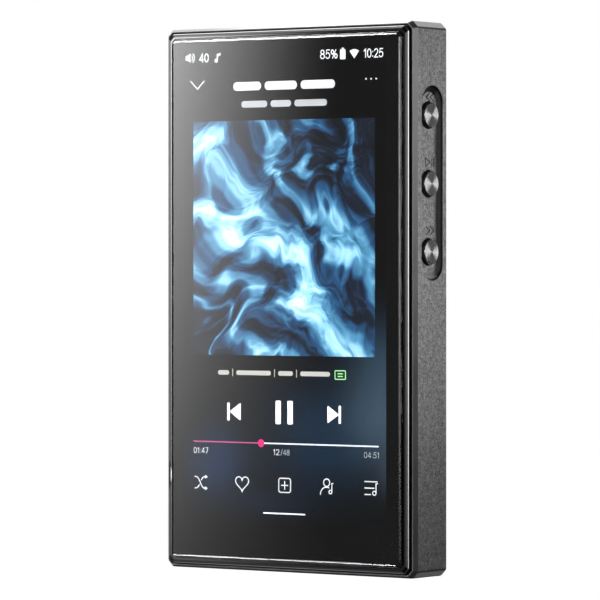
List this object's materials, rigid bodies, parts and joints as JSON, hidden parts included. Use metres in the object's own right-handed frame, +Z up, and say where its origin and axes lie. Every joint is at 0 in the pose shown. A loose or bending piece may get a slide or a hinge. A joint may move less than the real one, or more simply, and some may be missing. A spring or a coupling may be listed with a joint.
{
  "type": "digital audio player",
  "caption": "Pocket music player: slab body in blasted aluminium, framed touch screen, round sprung keys in pill-shaped side recesses, audio and charging sockets below.",
  "frame": {"origin": "middle of the bottom edge, on the surface that the player stands on", "axes": "+Z up along the height, +X across the width towards the transport keys, the screen faces -Y"},
  "size_m": [0.068, 0.014, 0.1207],
  "materials": {
    "blasted_aluminium": "satin",
    "gloss_black_frame": "gloss",
    "cover_glass": "polished",
    "display": "satin",
    "light_guide": "satin",
    "rear_panel": "matte",
    "turned_aluminium": "polished",
    "tape": "matte",
    "tinned_steel": "satin",
    "steel": "satin",
    "gold_plate": "polished",
    "mid_plate": "matte",
    "solder_mask": "satin",
    "polyimide": "satin",
    "battery_foil": "satin",
    "thermal_pad": "matte",
    "black_plastic": "matte"
  },
  "bodies": {
    "player_body": {"housing": "blasted_aluminium", "front_bezel": "gloss_black_frame", "cover_glass": "cover_glass", "glass_adhesive": "tape", "lcd_panel": "display", "backlight_unit": "light_guide", "lcd_flex": "polyimide", "mid_plate": "mid_plate", "mid_plate_screw_1": "steel", "mid_plate_screw_2": "steel", "mid_plate_screw_3": "steel", "mid_plate_screw_4": "steel", "main_board": "solder_mask", "main_board_screw_1": "steel", "main_board_screw_2": "steel", "main_board_screw_3": "steel", "main_board_screw_4": "steel", "soc_shield": "tinned_steel", "thermal_pad": "thermal_pad", "dac_shield": "tinned_steel", "port_board": "solder_mask", "port_board_screw_1": "steel", "port_board_screw_2": "steel", "battery": "battery_foil", "battery_pad": "tape", "link_flex": "polyimide", "usb_c_shell": "steel", "usb_c_tongue": "black_plastic", "jack_3_5_body": "black_plastic", "jack_3_5_ring": "steel", "jack_4_4_body": "black_plastic", "jack_4_4_ring": "gold_plate", "card_socket": "tinned_steel", "rear_cover": "rear_panel", "rear_cover_adhesive": "tape", "antenna": "polyimide", "right_key_board": "solder_mask", "right_key_bracket": "steel", "left_key_board": "solder_mask", "left_key_bracket": "steel", "previous_switch": "tinned_steel", "play_switch": "tinned_steel", "next_switch": "tinned_steel", "power_switch": "tinned_steel", "volume_up_switch": "tinned_steel", "volume_down_switch": "tinned_steel"},
    "previous_key": {"previous_button": "turned_aluminium", "previous_plunger": "black_plastic"},
    "play_key": {"play_button": "turned_aluminium", "play_plunger": "black_plastic"},
    "next_key": {"next_button": "turned_aluminium", "next_plunger": "black_plastic"},
    "power_key": {"power_button": "turned_aluminium", "power_plunger": "black_plastic"},
    "volume_up_key": {"volume_up_button": "turned_aluminium", "volume_up_plunger": "black_plastic"},
    "volume_down_key": {"volume_down_button": "turned_aluminium", "volume_down_plunger": "black_plastic"}
  },
  "joints": [
    {"name": "previous_press", "type": "slide", "parent": "player_body", "child": "previous_key", "axis": [-1, 0, 0], "range_m": [0, 0.0004], "stiffness_N_per_m": 400, "springref_m": -0.002},
    {"name": "play_press", "type": "slide", "parent": "player_body", "child": "play_key", "axis": [-1, 0, 0], "range_m": [0, 0.0004], "stiffness_N_per_m": 400, "springref_m": -0.002},
    {"name": "next_press", "type": "slide", "parent": "player_body", "child": "next_key", "axis": [-1, 0, 0], "range_m": [0, 0.0004], "stiffness_N_per_m": 400, "springref_m": -0.002},
    {"name": "power_press", "type": "slide", "parent": "player_body", "child": "power_key", "axis": [1, 0, 0], "range_m": [0, 0.0004], "stiffness_N_per_m": 400, "springref_m": -0.002},
    {"name": "volume_up_press", "type": "slide", "parent": "player_body", "child": "volume_up_key", "axis": [1, 0, 0], "range_m": [0, 0.0004], "stiffness_N_per_m": 400, "springref_m": -0.002},
    {"name": "volume_down_press", "type": "slide", "parent": "player_body", "child": "volume_down_key", "axis": [1, 0, 0], "range_m": [0, 0.0004], "stiffness_N_per_m": 400, "springref_m": -0.002}
  ]
}
